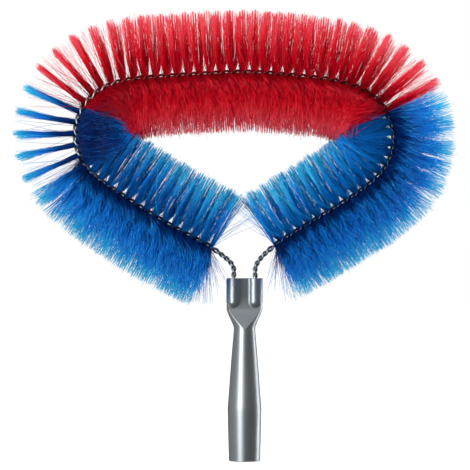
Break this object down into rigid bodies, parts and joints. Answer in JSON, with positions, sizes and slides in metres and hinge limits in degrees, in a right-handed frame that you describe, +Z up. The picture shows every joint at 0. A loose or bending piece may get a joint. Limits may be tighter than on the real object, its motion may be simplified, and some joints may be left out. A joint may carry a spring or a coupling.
{
  "type": "loop brush head",
  "caption": "Loop-shaped twisted-wire brush head with soft bristles in blue and red, on a tapered plastic socket that pushes onto a telescopic pole.",
  "frame": {"origin": "centre of the floor of the pole bore, where the end of the pole rests", "axes": "+Z up the pole's axis towards the brush, +X along the loop's width to the side of the right-hand sleeve, +Y through the loop, away from the picture's camera"},
  "size_m": [0.3993, 0.1093, 0.406],
  "materials": {
    "socket_plastic": "satin moulded plastic, silver grey",
    "wire_steel": "drawn and galvanised steel wire, twisted",
    "blue_bristle": "soft extruded plastic filament, blue",
    "red_bristle": "soft extruded plastic filament, red"
  },
  "bodies": {
    "root": {"socket": "socket_plastic", "wire_strand_a": "wire_steel", "wire_strand_b": "wire_steel", "bristles_blue_left_end": "blue_bristle", "bristles_blue_left_1": "blue_bristle", "bristles_blue_left_2": "blue_bristle", "bristles_blue_left_3": "blue_bristle", "bristles_blue_left_4": "blue_bristle", "bristles_red_1": "red_bristle", "bristles_red_2": "red_bristle", "bristles_red_3": "red_bristle", "bristles_red_4": "red_bristle", "bristles_red_5": "red_bristle", "bristles_red_6": "red_bristle", "bristles_blue_right_1": "blue_bristle", "bristles_blue_right_2": "blue_bristle", "bristles_blue_right_3": "blue_bristle", "bristles_blue_right_4": "blue_bristle", "bristles_blue_right_end": "blue_bristle"}
  },
  "joints": []
}
